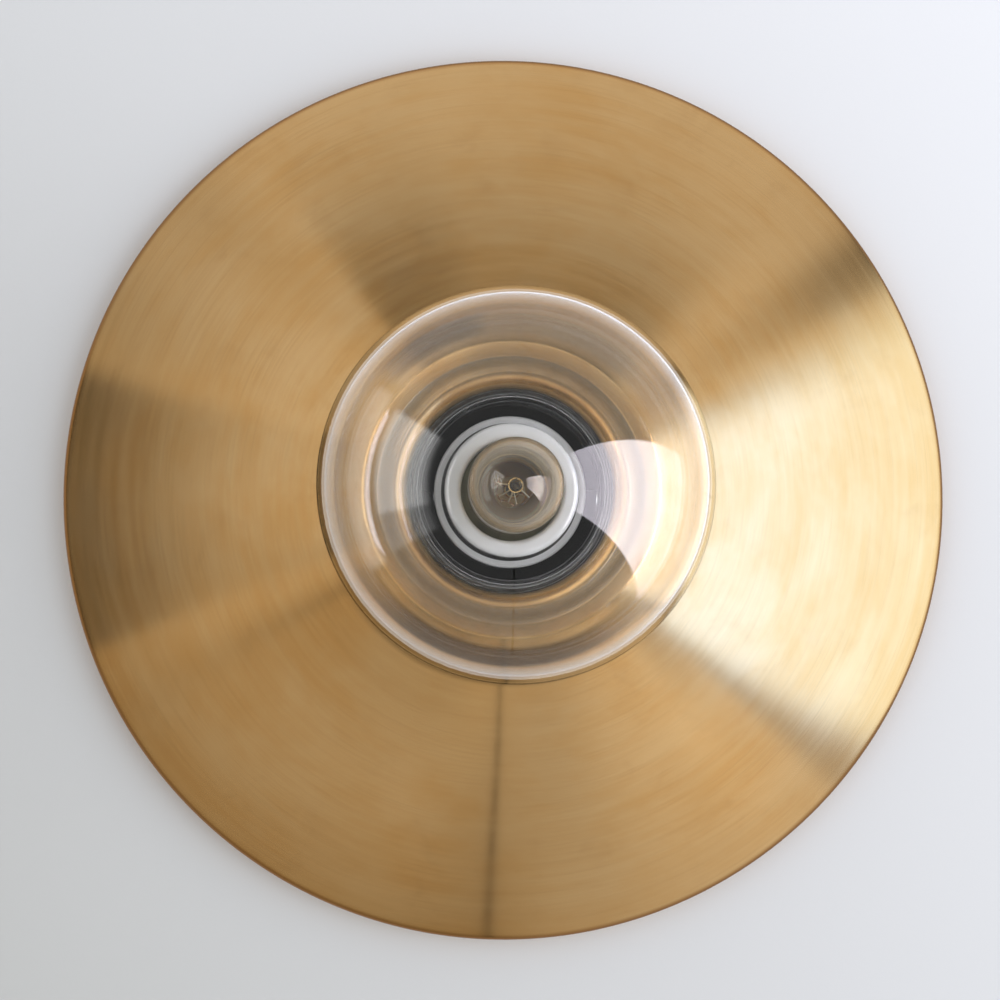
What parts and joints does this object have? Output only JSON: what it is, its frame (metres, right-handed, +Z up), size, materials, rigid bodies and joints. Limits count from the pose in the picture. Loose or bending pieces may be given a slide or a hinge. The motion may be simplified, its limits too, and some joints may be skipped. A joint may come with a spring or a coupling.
{
  "type": "ceiling lamp",
  "caption": "Flush ceiling lamp: a round raw-brass shade clamped between a black porcelain base and a screwed clear glass jar, over a screw-cap bulb.",
  "frame": {"origin": "centre of the base's flat face on the ceiling", "axes": "+Z up into the ceiling along the lamp's axis, so the lamp hangs in -Z; the two ceiling-screw slots lie along X and the lampholder's terminals along Y"},
  "size_m": [0.3, 0.3, 0.1275],
  "materials": {
    "black_porcelain": "gloss glaze on porcelain",
    "white_porcelain": "gloss glaze on porcelain",
    "raw_brass": "brushed in rings, lightly tarnished",
    "bright_brass": "satin",
    "cap_brass": "satin",
    "nickel_brass": "nickel plated",
    "zinc_steel": "zinc plated",
    "black_rubber": "matte",
    "clear_silicone": "clear",
    "clear_glass": "clear",
    "bulb_glass": "clear with a faint amber tint",
    "stem_glass": "clear",
    "black_vitrite": "gloss",
    "solder": "satin",
    "copper_wire": "bright",
    "support_wire": "drawn",
    "filament": "matte"
  },
  "bodies": {
    "fixture": {"base": "black_porcelain", "cable_grommet": "black_rubber", "lampholder_body": "white_porcelain", "lampholder_ring": "white_porcelain", "thread_shell": "bright_brass", "centre_contact": "bright_brass", "side_contact": "bright_brass", "contact_rivets": "zinc_steel", "terminal_screws": "nickel_brass", "terminal_washers": "nickel_brass", "lampholder_screws": "zinc_steel", "lampholder_washers": "zinc_steel", "lampholder_nuts": "zinc_steel"},
    "shade_set": {"shade": "raw_brass", "shade_gasket": "black_rubber", "glass_gasket": "clear_silicone"},
    "jar": {"glass_jar": "clear_glass"},
    "bulb_end": {"bulb_contact": "solder"},
    "bulb": {"bulb_cap": "cap_brass", "bulb_insulator": "black_vitrite", "bulb_envelope": "bulb_glass", "bulb_stem": "stem_glass", "bulb_lead_wires": "copper_wire", "bulb_support_wires": "support_wire", "bulb_filament": "filament"}
  },
  "joints": [
    {"name": "jar_drop", "type": "slide", "parent": "fixture", "child": "shade_set", "axis": [0, 0, -1], "range_m": [0, 0.00901]},
    {"name": "jar_turn", "type": "hinge", "parent": "shade_set", "child": "jar", "pos_m": [0, 0, -0.05], "axis": [0, 0, -1], "range_deg": [0, 540]},
    {"name": "bulb_drop", "type": "slide", "parent": "fixture", "child": "bulb_end", "axis": [0, 0, -1], "range_m": [0, 0.01453]},
    {"name": "bulb_turn", "type": "hinge", "parent": "bulb_end", "child": "bulb", "pos_m": [0, 0, -0.04], "axis": [0, 0, -1], "range_deg": [0, 1440]}
  ],
  "couplings": [
    {"joint": "jar_drop", "follows": "jar_turn", "m_per_rad": 0.00095493},
    {"joint": "bulb_drop", "follows": "bulb_turn", "m_per_rad": 0.00057773}
  ]
}
